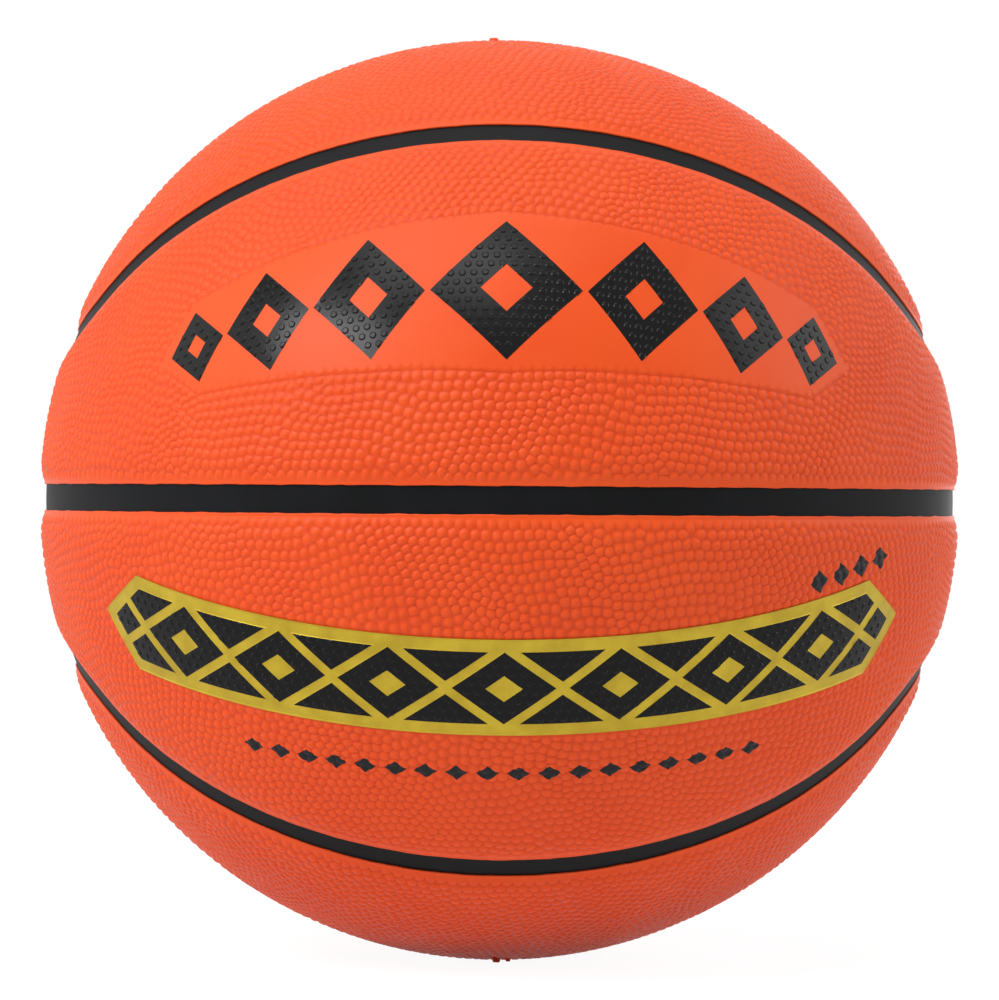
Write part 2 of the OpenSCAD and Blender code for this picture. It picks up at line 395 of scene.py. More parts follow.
# Pebble places for one panel. Inside a zone the rubber is smooth, and mirrored places keep its edge crisp
def pebblePlaces(kind, seed, zone):
    rng = np.random.default_rng(seed)
    middle = panelMiddles[kind]
    p = rowPoints(rng, pebbles["jitter"])
    p = p[seamDistances(kind, p).min(axis=1) > pebbles["edge"] + pebbles["seamGap"]]

    def fromZone(p):
        return outlineDistance(zone["outline"], guideFlat(zone["guide"], p))[0]

    def zoneGhosts(p, reach):
        uv = guideFlat(zone["guide"], p)
        distance, nearest = outlineDistance(zone["outline"], uv)
        near = distance < reach
        return guideBall(zone["guide"], 2 * nearest[near] - uv[near])

    if zone:
        p = p[fromZone(p) > pebbles["zoneGap"]]
    for turn in range(pebbles["rounds"]):
        ghosts = mirroredOverSeams(kind, p)
        if zone:
            ghosts = np.vstack([ghosts, zoneGhosts(p, pebbles["zoneReach"])])
        p = evened(p, ghosts, middle)
    if not zone:
        return p, np.zeros((0, 3))
    mirrored = zoneGhosts(p, flatPlaces["reach"])
    fill = rowPoints(rng, flatPlaces["jitter"])
    fill = fill[fromZone(fill) < -flatPlaces["inset"]]
    flats = mirrored[:1]
    for place in mirrored[1:]:
        if size(flats - place).min() * ballR > flatPlaces["apart"]:
            flats = np.vstack([flats, place])
    gap = size(fill[:, None] - flats[None]).min(axis=1) * ballR
    return p, np.vstack([flats, fill[gap > flatPlaces["rowGap"]]])


# The cover's edge stands up a little along each strip, and is uneven, as trimmed rubber is
lip = {
    "rise": 0.12,
    "waves": ((41, 0.05), (73, 0.045), (127, 0.035), (211, 0.025)),  # turns round the panel, and size
    "shift": 0.05,
    "most": 0.22,
    "back": 0.3,  # the waves run from the edge this far in
    "foot": 0.02,  # the wall ends this far above the channel's floor
    "rings": ((0.3, -0.02), (0.58, 0.096)),  # before it: distance from the pebbled field, and rise
    # depth share of the rings before the lip, for the painted shade in the low places
    "ringShadeDepth": 0.6,
    "topDrop": 0.03,  # the cover falls away this much before the lip
    "pictureInsets": (0, 0.35, 0.6, 0.9),  # of the last four rings, on the picture map
}
# The inside of a panel has one point for every few pebbles, this far from the pebbled field's edge
insideCap = {"every": 9, "clear": 2}


# The whole skin of one panel: pebbles, smooth zone, shoulder, lip, wall and inside, closed
def panelMesh(kind, seed, zone=None):
    middle = panelMiddles[kind]
    rng = np.random.default_rng(seed + 1000)
    edge = pebbles["edge"]
    bumps, flats = pebblePlaces(kind, seed, zone)
    sites = np.vstack([bumps, flats])
    siteCount = len(sites)
    isFlat = np.arange(siteCount) >= len(bumps)
    ghosts = mirroredOverSeams(kind, bumps)
    tri, centres, _, s, t = cellsOf(np.vstack([sites, ghosts]), middle)

    closeBy = size(centres[s] - centres[t]) * ballR < pebbles["cornerSize"]
    label = np.arange(len(tri))
    pairs = np.stack([s[closeBy], t[closeBy]], axis=1)
    while True:
        low = np.minimum(label[pairs[:, 0]], label[pairs[:, 1]])
        before = label.copy()
        np.minimum.at(label, pairs[:, 0], low)
        np.minimum.at(label, pairs[:, 1], low)
        label = label[label]
        if (label == before).all():
            break
    used = (tri < siteCount).any(axis=1)
    hasGhost = (tri >= siteCount).any(axis=1)
    cornerSum = np.zeros((len(tri), 3))
    np.add.at(cornerSum, label[used], centres[used])
    onEdge = np.zeros(len(tri), bool)
    np.logical_or.at(onEdge, label[used], hasGhost[used])

    # Round each site, its cell's corners in order
    ringSite = np.concatenate([tri[used, k] for k in range(3)])
    ringLabel = np.tile(label[used], 3)
    real = ringSite < siteCount
    rings = np.unique(np.stack([ringSite[real], ringLabel[real]], axis=1), axis=0)
    labels, corner = np.unique(rings[:, 1], return_inverse=True)
    cornerPlace = unit(cornerSum[labels])
    cornerOnEdge = onEdge[labels]
    site = rings[:, 0]
    up = np.where(np.abs(sites[site, 2:3]) > 0.9, rightAxis[None], poleAxis[None])
    e1 = unit(np.cross(up, sites[site]))
    e2 = np.cross(sites[site], e1)
    away = cornerPlace[corner] - sites[site]
    order = np.lexsort((np.arctan2(dots(away, e2), dots(away, e1)), site))
    site, corner = site[order], corner[order]
    entries = np.arange(len(site))
    starts = np.where(np.r_[True, site[1:] != site[:-1]])[0]
    after = entries + 1
    after[np.r_[starts[1:], len(site)] - 1] = starts

    def movedToEdge(places):
        return outlinePoints(kind, *outlinePlaces(kind, places), edge / ballR)

    # A point halfway along each cell wall, shared by the cells on its two sides
    cornerPlace[cornerOnEdge] = movedToEdge(cornerPlace[cornerOnEdge])
    pairKey = np.sort(np.stack([corner, corner[after]], axis=1), axis=1)
    keys, halfway, sharedBy = np.unique(pairKey, axis=0, return_inverse=True, return_counts=True)
    halfway = halfway.ravel()
    halfPlace = unit(cornerPlace[keys[:, 0]] + cornerPlace[keys[:, 1]])
    halfOnEdge = sharedBy == 1
    halfPlace[halfOnEdge] = movedToEdge(halfPlace[halfOnEdge])

    # Which corners and halfway points lie wholly in the smooth zone
    cornerFlat = np.ones(len(cornerPlace), bool)
    np.logical_and.at(cornerFlat, corner, isFlat[site])
    halfFlat = np.ones(len(halfPlace), bool)
    np.logical_and.at(halfFlat, halfway, isFlat[site])

    tall = 1 + rng.uniform(-1, 1, siteCount) * pebbles["heightSpread"]
    spread = pebbles["discSpread"]
    disc = pebbles["discRadius"] * (1 + rng.uniform(-spread, spread, siteCount)) / ballR

    def towards(target):
        away = target - sites[site]
        return np.minimum(pebbles["reachShare"], disc[site] / size(away))[:, None] * away

    rimCorner = unit(sites[site] + towards(cornerPlace[corner]))
    rimHalf = unit(sites[site] + towards(halfPlace[halfway]))
    top = unit(sites[site] + pebbles["topReach"] * towards(cornerPlace[corner]))

    flatShare = zone["depth"] / pebbles["height"] if zone else 0.0
    sunk = (1 - tall) * pebbles["sinkShare"]
    rimShare = np.where(isFlat, flatShare, pebbles["footShare"] * tall)
    topShare = np.where(isFlat, flatShare, pebbles["topShare"] + sunk)
    peakShare = np.where(isFlat, flatShare, np.maximum(0, sunk))
    depths = [
        np.where(cornerFlat, flatShare, 1.0),
        np.where(halfFlat, flatShare, np.where(halfOnEdge, 1.0, pebbles["saddleShare"])),
        rimShare[site], rimShare[site], np.maximum(topShare, 0)[site], peakShare,
    ]
    places = [cornerPlace, halfPlace, rimCorner, rimHalf, top, sites]
    first = np.cumsum([0] + [len(a) for a in places])
    directions = np.vstack(places)
    distance = seamDistances(kind, directions)
    surface = coverRadius(distance).min(axis=1)
    depth = np.concatenate(depths) * pebbles["height"] * fade(distance.min(axis=1))
    verts = [directions * (surface - depth)[:, None]]
    # Depth shares of the points, which the material turns into painted shade in the low places
    valleyShades = [depth / pebbles["height"]]
    uvDirections = [directions]

    c, h = corner + first[0], halfway + first[1]
    rc, rh, tp = entries + first[2], entries + first[3], entries + first[4]
    peak = site + first[5]
    quads = np.vstack([np.stack([c, h, rh, rc], 1), np.stack([h, c[after], rc[after], rh], 1)])
    tris = np.vstack([np.stack([rc, rh, tp], 1), np.stack([rh, rc[after], tp[after]], 1),
                      np.stack([rh, tp[after], tp], 1), np.stack([tp, tp[after], peak], 1)])
    faces = quads.tolist() + tris.tolist()

    # The outline, walked in order
    edgeEntries = np.where(halfOnEdge[halfway])[0]
    follow = {int(corner[e]): (int(halfway[e]), int(corner[after[e]])) for e in edgeEntries}
    begin = int(corner[edgeEntries[0]])
    loop, at = [], begin
    while not loop or at != begin:
        mid, then = follow[at]
        loop += [at + first[0], mid + first[1]]
        at = then
    loop = np.array(loop)
    n = len(loop)
    sides, shares = outlinePlaces(kind, directions[loop])
    run = np.cumsum(size(following(directions[loop]) - directions[loop]) * ballR)
    wave = np.zeros(n)
    for turns, swell in lip["waves"]:
        wave += swell * np.sin(2 * math.pi * turns * run / run[-1] + rng.uniform(0, 6.28))
    wave = np.clip(wave + lip["shift"], 0, lip["most"])

    def outlineAt(t):
        return outlinePoints(kind, sides, shares, t / ballR)

    # Rings of points from the outline down to the inside. Directions are kept for the picture map
    for inset, rise in lip["rings"]:
        points = outlineAt(edge - inset)
        distance = seamDistances(kind, points)
        low = fade(distance.min(axis=1))
        radius = coverRadius(distance).min(axis=1) + rise - pebbles["height"] * low
        verts.append(points * radius[:, None])
        valleyShades.append(lip["ringShadeDepth"] * low)
        uvDirections.append(points)
    points, inward = outlineAt(halfChannel), outlineAt(halfChannel - lip["back"])
    uneven = unit(points + (inward - points) * (wave / lip["back"])[:, None])
    lipTopR = coverRadius(np.array([halfChannel]))[0]
    for radius in (lipTopR - lip["topDrop"] + lip["rise"], floorR + lip["foot"]):
        verts.append(uneven * radius)
    for wallR, rise in ((floorR, lip["foot"]), (innerR, 0)):
        verts.append(outlinePoints(kind, sides, shares, math.asin(halfChannel / wallR)) * (wallR + rise))
    uvDirections += [outlineAt(halfChannel - inset) for inset in lip["pictureInsets"]]
    outer = loop
    for k in range(len(verts) - 1):
        inner = first[-1] + k * n + np.arange(n)
        faces += np.stack([outer, inner, following(inner), following(outer)], 1).tolist()
        outer = inner

    # The inside of the panel, on the carcass
    inside = sites[:: insideCap["every"]]
    inside = inside[seamDistances(kind, inside).min(axis=1) > edge + insideCap["clear"]]
    capPoints = np.vstack([unit(verts[-1]), inside])
    cap = triangulate(flatMap(capPoints, middle), [range(n)], inside=True)
    capFaces = cap + sum(len(v) for v in verts) - n
    a, b, d = capPoints[cap[:, 0]], capPoints[cap[:, 1]], capPoints[cap[:, 2]]
    outward = dots(np.cross(b - a, d - a), a) > 0
    capFaces[outward] = capFaces[outward][:, ::-1]
    verts.append(inside * innerR)
    uvDirections.append(inside)
    capFirst = len(faces)
    faces += capFaces.tolist()
    return np.vstack(verts), faces, np.vstack(uvDirections), capFirst, np.concatenate(valleyShades)


# Places on the picture map: the outside spread flat, the inside below it
def layOut(mesh, kind, directions, capFirst, insideDirections):
    middle = panelMiddles[kind]
    up = unit(np.cross(middle, rightAxis))
    margin = 0.02

    def spread(p):
        angle = angleOf(p @ middle)
        x, y = p @ rightAxis, p @ up
        away = np.hypot(x, y) + 1e-12
        return np.stack([angle * x / away, angle * y / away], axis=1)

    outside, inside = spread(directions), spread(insideDirections)
    low = outside.min(axis=0)
    width, height = outside.max(axis=0) - low
    scale = (1 - 2 * margin) / max(width, 2.1 * height)  # room for both, and a gap between them
    outside = (outside - low) * scale + margin
    inside = (inside - low) * scale + [margin, 2 * margin + height * scale]
    corners = np.zeros(len(mesh.loops), int)
    mesh.loops.foreach_get("vertex_index", corners)
    starts = np.zeros(len(mesh.polygons), int)
    mesh.polygons.foreach_get("loop_start", starts)
    uv = outside[corners]
    capLoop = starts[capFirst]
    uv[capLoop:] = inside[corners[capLoop:]]
    layer = mesh.uv_layers.new(name="OFBake")
    layer.data.foreach_set("uv", uv.astype(np.float32).ravel())


def makeObject(name, verts, faces, material, smooth=True):
    mesh = bpy.data.meshes.new(name)
    mesh.from_pydata(np.asarray(verts).tolist(), [], faces)
    mesh.materials.append(material)
    mesh.polygons.foreach_set("use_smooth", np.full(len(mesh.polygons), smooth))
    mesh.update()
    piece = bpy.data.objects.new(name, mesh)
    scene.collection.objects.link(piece)
    return piece


def sayMade(piece):
    print(piece.name, len(piece.data.polygons), "faces,", round(time.time() - started, 1), "s")


def linear(hexColour):
    value = hexColour.lstrip("#")
    parts = [int(value[i:i + 2], 16) / 255 for i in (0, 2, 4)]
    return [c / 12.92 if c <= 0.04045 else ((c + 0.055) / 1.055) ** 2.4 for c in parts] + [1.0]


# Adds a shader node with its settings and links. An input's link is (node, output name), or a plain value
def addNode(tree, kind, links=None, **settings):
    node = tree.nodes.new("ShaderNode" + kind)
    for key, value in settings.items():
        if hasattr(node, key):
            setattr(node, key, value)
        else:
            node.inputs[key.replace("_", " ")].default_value = value
    for key, value in (links or {}).items():
        if isinstance(value, tuple) and isinstance(value[0], bpy.types.Node):
            tree.links.new(value[0].outputs[value[1]], node.inputs[key])
        else:
            node.inputs[key].default_value = value
    return node


def newMaterial(name):
    material = bpy.data.materials.new(name)
    material.use_nodes = True
    material.node_tree.nodes.clear()
    return material, material.node_tree


# Rows of small lozenges printed straight on the pebbles, in mm along a guide
printedRows = {
    "colour": "#17161A",
    "edgeNoise": 0.12,
    "rows": (
        {"lean": -20.2, "radius": 103.1, "from": -64.8, "period": 7.2, "count": 18,
         "halfLength": 2.9, "halfHeight": 2.1},
        {"lean": -20.2, "radius": 83.8, "from": 76.5, "period": 7.4, "count": 4,
         "halfLength": 3.2, "halfHeight": 3.0},
    ),
}


# Where a row of printed lozenges lies, as a mask: 1 inside them
def addPrintedRow(tree, outward, grain, row):
    guide = circleGuide(row["lean"], row["radius"])
    scale = ballR / row["halfHeight"]
    made = {"grain": grain}
    for name, axis in (("up", guide["axis"]), ("right", rightAxis), ("front", guide["front"])):
        made[name] = addNode(tree, "VectorMath", {0: (outward, "Vector"), 1: axis},
                             operation="DOT_PRODUCT")
    for name, operation, *values in (
            ("reach", "ARCCOSINE", "up"),
            ("across", "MULTIPLY_ADD", "reach", -scale, guide["radius"] * scale),
            ("height", "ABSOLUTE", "across"),
            ("turn", "ARCTAN2", "right", "front"),
            ("run", "MULTIPLY_ADD", "turn", math.sin(guide["radius"]) * ballR / row["period"],
             0.5 - row["from"] / row["period"]),
            ("along", "PINGPONG", "run", 0.5),
            ("size", "MULTIPLY_ADD", "along", row["period"] / row["halfLength"], "height"),
            ("ragged", "MULTIPLY_ADD", "grain", printedRows["edgeNoise"], "size"),
            ("inside", "LESS_THAN", "ragged", 1.0),
            ("counted", "COMPARE", "run", (row["count"] + 1) / 2, row["count"] / 2),
            ("mask", "MULTIPLY", "inside", "counted")):
        inputs = {}
        for k, value in enumerate(values):
            if isinstance(value, str):
                inputs[k] = (made[value], "Fac" if value == "grain" else "Value")
            else:
                inputs[k] = value
        made[name] = addNode(tree, "Math", inputs, operation=operation)
    return made["mask"]


# Two tones in soft clouds. The tones are whole at the two shares of the noise
def addClouds(tree, place, look, detail=3.0, shares=(0.33, 0.67)):
    cloud = addNode(tree, "TexNoise", {"Vector": place}, Scale=1000 / look["cloudSize"], Detail=detail)
    tint = addNode(tree, "ValToRGB", {"Fac": (cloud, "Fac")})
    for element, position, tone in zip(tint.color_ramp.elements, shares, ("deep", "pale")):
        element.position, element.color = position, linear(look[tone])
    return cloud, tint


# Soft clouds, a fine grain, and duller and glossier places; where a look gives a colour for the low places,
# painted shade darkens them
def makeMottled(name, look, rows=()):
    material, tree = newMaterial(name)
    place = (addNode(tree, "TexCoord"), "Object")
    cloud, tint = addClouds(tree, place, look)
    grain = addNode(tree, "TexNoise", {"Vector": place}, Scale=1000 / look["grainSize"], Detail=2.0)
    bump = addNode(tree, "Bump", {"Height": (grain, "Fac")},
                   Strength=look["bump"], Distance=look["grainDepth"] * mm)
    rough = addNode(tree, "MapRange", {"Value": (cloud, "Fac")},
                    To_Min=look["bright"], To_Max=look["dull"])
    colour = (tint, "Color")
    # Painted shade: the mesh's depth attribute mixes the colour towards a deep red, most in the low places
    # between pebbles
    if "valleyShade" in look:
        low = addNode(tree, "Attribute", attribute_name="valleyShade")
        share = addNode(tree, "MapRange", {"Value": (low, "Fac")},
                        From_Min=look["valleyShadeFrom"], From_Max=1.0, To_Max=look["valleyShadeShare"])
        colour = (addNode(tree, "MixRGB", {"Fac": (share, "Result"), "Color1": colour},
                          Color2=linear(look["valleyShade"])), "Color")
    if rows:
        outward = addNode(tree, "VectorMath", {0: place}, operation="NORMALIZE")
    for row in rows:
        mask = addPrintedRow(tree, outward, grain, row)
        colour = (addNode(tree, "MixRGB", {"Fac": (mask, "Value"), "Color1": colour},
                          Color2=linear(printedRows["colour"])), "Color")
    shader = addNode(tree, "BsdfPrincipled",
                     {"Base Color": colour, "Normal": (bump, "Normal"), "Roughness": (rough, "Result")},
                     IOR=look["ior"], Specular_IOR_Level=look["gloss"])
    addNode(tree, "OutputMaterial", {"Surface": (shader, "BSDF")})
    return material


# Orange rubber, compression moulded: a dull sheen, faintly cloudy from mixing, fine grain from the mould.
# Painted shade darkens the low places between the pebbles towards a deep red
coverRubber = {
    "pale": "#F2581F", "deep": "#EE521B", "valleyShade": "#C62F07", "valleyShadeShare": 0.45, "valleyShadeFrom": 0.35,
    "cloudSize": 26.0, "grainSize": 0.35, "bump": 0.25, "grainDepth": 0.04,
    "dull": 0.5, "bright": 0.4, "ior": 1.52, "gloss": 0.22,
}
# Black film moulded into the rubber: smooth and glossy between its studs
blackFilm = {
    "pale": "#0C0C0E", "deep": "#08080A", "cloudSize": 9.0, "grainSize": 0.5, "bump": 0.2, "grainDepth": 0.02,
    "dull": 0.26, "bright": 0.17, "ior": 1.54, "gloss": 0.14,
}
# Black rubber strip, calendered and buffed: satin, faintly cloudy
stripRubber = {
    "pale": "#141518", "deep": "#0E0F10", "cloudSize": 14.0, "grainSize": 1.2, "bump": 0.3,
    "grainDepth": 0.03, "dull": 0.58, "bright": 0.48, "ior": 1.52, "gloss": 0.08,
}
# Gold ink with fine metal flake, screen printed: a satin yellow that darkens where it turns from the light
goldInk = {
    "pale": "#C4AA2C", "deep": "#B39823", "cloudSize": 6.0, "flakeSize": 0.35, "bump": 0.25,
    "depth": 0.02, "roughness": 0.42, "metallic": 0.6, "ior": 1.5,
}


# Bump and shader of a material that is equally rough all over
def addSurface(tree, tint, height, look):
    bump = addNode(tree, "Bump", {"Height": height}, Strength=look["bump"], Distance=look["depth"] * mm)
    shader = addNode(tree, "BsdfPrincipled",
                     {"Base Color": (tint, "Color"), "Normal": (bump, "Normal")},
                     Metallic=look["metallic"], Roughness=look["roughness"], IOR=look["ior"])
    addNode(tree, "OutputMaterial", {"Surface": (shader, "BSDF")})


def makeGoldInk():
    material, tree = newMaterial("goldInkPrinted")
    place = (addNode(tree, "TexCoord"), "Object")
    tint = addClouds(tree, place, goldInk, detail=5.0, shares=(0.35, 0.65))[1]
    flake = addNode(tree, "TexVoronoi", {"Vector": place}, Scale=1000 / goldInk["flakeSize"])
    addSurface(tree, tint, (flake, "Distance"), goldInk)
    return material


coverMaterial = makeMottled("orangeRubberMoulded", coverRubber)
markedMaterial = makeMottled("orangeRubberPrinted", coverRubber, printedRows["rows"])
blackFilmMaterial = makeMottled("blackFilmMoulded", blackFilm)
goldInkMaterial = makeGoldInk()


# Each panel: its kind, which way it is mirrored from the upper front, and the seed of its own pattern
panels = {}
for kind, word in (("side", "panel"), ("crown", "crown")):
    for depth, face in ((1, "front"), (-1, "back")):
        for height, level in ((1, "upper"), (-1, "lower")):
            panels[f"{level}_{face}_{word}"] = (kind, (1, depth, height), 11 + len(panels))


def makePanel(node, zone=None, material=coverMaterial):
    kind, mirror, seed = panels[node]
    verts, faces, directions, capFirst, valleyShades = panelMesh(kind, seed, zone)
    if np.prod(mirror) < 0:
        faces = [f[::-1] for f in faces]
    piece = makeObject(node + "_pebbled", verts * mm * np.array(mirror), faces, material)
    layOut(piece.data, kind, directions, capFirst, unit(verts))
    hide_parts(node)
    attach(piece, "root")
    # The depth shares as a point attribute, from which the material paints shade in the low places
    valleyShade = piece.data.attributes.new("valleyShade", "FLOAT", "POINT")
    valleyShade.data.foreach_set("value", np.r_[valleyShades, np.zeros(len(verts) - len(valleyShades))].astype(np.float32))
    sayMade(piece)


# Outlines below are drawn anticlockwise, in mm along and across a guide
def lozenge(place, halfLength, halfHeight):
    return np.array([(place + halfLength, 0), (place, halfHeight),
                     (place - halfLength, 0), (place, -halfHeight)], float)


def grown(outline, distance):
    ahead = unit(following(outline) - outline)
    ahead = np.stack([ahead[:, 1], -ahead[:, 0]], axis=1)
    middle = ahead + np.roll(ahead, 1, axis=0)
    return outline + middle * (distance / dots(middle, ahead))[:, None]


# The part of one shape inside another; neither has a hollow in its outline
def clipped(shape, border):
    for start, end in zip(border, following(border)):
        side = (end[0] - start[0]) * (shape[:, 1] - start[1]) - (end[1] - start[1]) * (shape[:, 0] - start[0])
        kept = []
        for k in range(len(shape)):
            after = (k + 1) % len(shape)
            if side[k] >= 0:
                kept.append(shape[k])
            if side[k] * side[after] < 0:
                kept.append(shape[k] + (shape[after] - shape[k]) * side[k] / (side[k] - side[after]))
        if len(kept) < 3:
            return None
        shape = np.array(kept)
    return shape


def outlineArea(outline):
    after = following(outline)
    return (outline[:, 0] * after[:, 1] - outline[:, 1] * after[:, 0]).sum() / 2


# Signed distance to shapes that may have holes: each is (outline, hole or None)
def shapeDistance(shapes, uv):
    least = np.full(len(uv), np.inf)
    for outline, hole in shapes:
        distance = outlineDistance(outline, uv)[0]
        if hole is not None:
            distance = np.maximum(distance, -outlineDistance(hole, uv)[0])
        least = np.minimum(least, distance)
    return least


def stepped(outline, step):
    points = []
    for start, end in zip(outline, following(outline)):
        count = max(1, round(size(end - start) / step))
        points += [start + (end - start) * k / count for k in range(count)]
    return np.array(points)


def hexagonPlaces(low, high, pitch):
    rows = int((high[1] - low[1]) / (pitch * hexRow)) + 2
    columns = int((high[0] - low[0]) / pitch) + 2
    row, column = np.meshgrid(np.arange(rows), np.arange(columns), indexing="ij")
    u = low[0] + (column + 0.5 * (row % 2)) * pitch
    return np.stack([u, low[1] + row * pitch * hexRow], axis=2).reshape(-1, 2)


# Printed areas are moulded with a grid of small flat studs
studs = {
    "pitch": 2.65, "footRadius": 0.88, "topRadius": 0.56, "height": 0.2, "corners": 12,
    "inset": 0.3,  # of a stud's middle from the print's edge
    "pointInset": 0.14,
    "edgeStep": 0.8,  # between the points along a print's edge
    "margin": 1.0,  # of the grid round the shapes
    "sliver": 0.005,  # faces this close to an edge lie between two shapes, and are left out
    "sharpAngle": 22,
    "batch": 2000,  # points measured at a time, to spare memory
}
drawScale = 0.01  # small numbers suit the triangulation, whose tolerance is absolute


# A thin closed sheet on the ball. heightAt gives its top and foot its underside, in mm above the ball
def makeFilm(name, guide, shapes, creases, inner, heightAt, foot, material):
    loops = [stepped(o, studs["edgeStep"]) for shape in shapes for o in shape if o is not None]
    loops += [stepped(o, studs["edgeStep"]) for o in creases]
    starts = np.cumsum([0] + [len(loop) for loop in loops])
    uv = np.vstack(loops + [inner])
    tri = triangulate(uv * drawScale, [range(a, b) for a, b in zip(starts[:-1], starts[1:])])
    tri = tri[shapeDistance(shapes, uv[tri].mean(axis=1)) < -studs["sliver"]]
    directions = guideBall(guide, uv)
    surface = coverRadius(seamDistances("side", np.abs(directions) * [1, -1, 1])).min(axis=1)
    top = directions * (surface + heightAt(uv))[:, None]
    under = directions * (surface + foot)[:, None]
    edges = edgesOf(tri).tolist()
    back = {(b, a) for a, b in edges}
    rim = np.array([e for e in edges if tuple(e) not in back])
    count = len(uv)
    walls = np.stack([rim[:, 1], rim[:, 0], rim[:, 0] + count, rim[:, 1] + count], axis=1)
    faces = tri.tolist() + (tri[:, ::-1] + count).tolist() + walls.tolist()
    used = np.unique(tri)
    renumber = np.full(2 * count, -1)
    renumber[np.r_[used, used + count]] = np.arange(2 * len(used))
    verts = np.vstack([top, under])[np.r_[used, used + count]]
    piece = makeObject(name, verts * mm, [renumber[f].tolist() for f in faces], material)
    piece.data.set_sharp_from_angle(angle=math.radians(studs["sharpAngle"]))
    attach(piece, "root")
    sayMade(piece)


# Studs inside shapes: their middles, and the points of their rings
def studPoints(shapes):
    everything = np.vstack([outline for outline, hole in shapes])
    low, high = everything.min(axis=0) - studs["margin"], everything.max(axis=0) + studs["margin"]
    centres = hexagonPlaces(low, high, studs["pitch"])
    centres = centres[shapeDistance(shapes, centres) < -studs["inset"]]
    turns = np.arange(studs["corners"]) * 2 * math.pi / studs["corners"]
    circle = np.stack([np.cos(turns), np.sin(turns)], axis=1)
    points = np.vstack([centres] + [(centres[:, None] + r * circle[None]).reshape(-1, 2)
                                    for r in (studs["footRadius"], studs["topRadius"])])
    return centres, points[shapeDistance(shapes, points) < -studs["pointInset"]]


def studHeight(centres, uv):
    parts = np.array_split(uv, 1 + len(uv) // studs["batch"])
    nearest = np.concatenate([size(part[:, None] - centres[None]).min(axis=1) for part in parts])
    return np.interp(nearest, [studs["topRadius"], studs["footRadius"]], [studs["height"], 0])


# Black film over shapes, with its studs
def makeInk(name, look, shapes, under):
    centres, inner = studPoints(shapes)
    makeFilm(name, look["guide"], shapes, [], inner,
             lambda uv: look["inkHeight"] + studHeight(centres, uv),
             under - look["inkSink"], blackFilmMaterial)


# Above: a row of black lozenges on a smooth orange plate. Heights are from the ball's own surface
upperPrint = {
    "guide": circleGuide(31.7, 96.6),
    "plate": [(0, 21), (33, 18.6), (59, 15.6), (79, 12.2), (90.5, 0)],
    "plateHeight": -0.14,
    "inkHeight": -0.1,
    "inkSink": 0.1,  # how far the film goes into the plate
    "lozenges": ((0, 17.6, 18), (32.2, 13.4, 15.6), (57.8, 11, 12.8), (78, 8, 9.2)),  # place, half sizes
    "holeShare": 0.34,
}
# Below: a gold ribbon with a lozenge pattern in black
lowerPrint = {
    "guide": circleGuide(-20.2, 91.8),
    "panelGuide": circleGuide(20.2, 88.2),  # the same one, mirrored as the panel is
    "ribbon": [(0, 12), (98, 12), (110, 0)],
    "plateHeight": -0.3,
    "goldHeight": -0.16,
    "goldSink": 0.15,
    "rimHeight": -0.02,
    "rimWidth": 0.4,
    "inkHeight": -0.04,
    "inkSink": 0.06,
    "inkRest": 0.03,  # the gold under the ink lies this far below its top
    "step": 0.15,  # width of the slopes between these heights
    "border": 3.0,
    "gap": 2.2,
    "tipGap": 0.4,
    "period": 27.0,
    "repeats": 5,  # to each side of the middle
    "holeShare": 0.36,
    "holeInset": 4.0,  # lozenges nearer the ribbon's end have no hole
    "smallest": 6.0,  # mm2; smaller cut shapes are left out
    "edgeClear": 1.0,  # points inside the ribbon keep this far from its edge
    "inkClear": 0.7,  # and this far from the pattern's
}


def makeUpperPrint():
    plate = mirroredOutline(upperPrint["plate"])
    zone = {"guide": upperPrint["guide"], "outline": plate, "depth": -upperPrint["plateHeight"]}
    makePanel("upper_front_panel", zone)
    share = upperPrint["holeShare"]
    shapes = []
    for place, halfLength, halfHeight in upperPrint["lozenges"]:
        for side in ((-1, 1) if place else (1,)):
            shapes.append((lozenge(side * place, halfLength, halfHeight),
                           lozenge(side * place, share * halfLength, share * halfHeight)))
    makeInk("upper_front_print", upperPrint, shapes, upperPrint["plateHeight"])


# Lozenges along the ribbon, and triangles between them, cut off at its border
def ribbonShapes(field):
    halfHeight = field[:, 1].max()
    period, gap = lowerPrint["period"], lowerPrint["gap"]
    halfLength = period / 2 - gap / 2 - lowerPrint["tipGap"]
    baseHalf = period / 2 - gap * math.hypot(halfLength, halfHeight) / halfHeight
    tip = halfHeight * (1 - baseHalf / halfLength)
    share = lowerPrint["holeShare"]
    shapes = []
    for k in range(-lowerPrint["repeats"], lowerPrint["repeats"] + 1):
        place = k * period
        whole = clipped(lozenge(place, halfLength, halfHeight), field)
        if whole is not None and outlineArea(whole) > lowerPrint["smallest"]:
            clear = abs(place) + halfLength < field[:, 0].max() - lowerPrint["holeInset"]
            hole = lozenge(place, share * halfLength, share * halfHeight)
            shapes.append((whole, hole if len(whole) == 4 and clear else None))
        middle = place + period / 2
        for up in (1, -1):
            corners = [(middle - baseHalf, up * halfHeight), (middle, up * tip),
                       (middle + baseHalf, up * halfHeight)]
            part = clipped(np.array(corners[::up]), field)
            if part is not None and outlineArea(part) > lowerPrint["smallest"]:
                shapes.append((part, None))
    return shapes


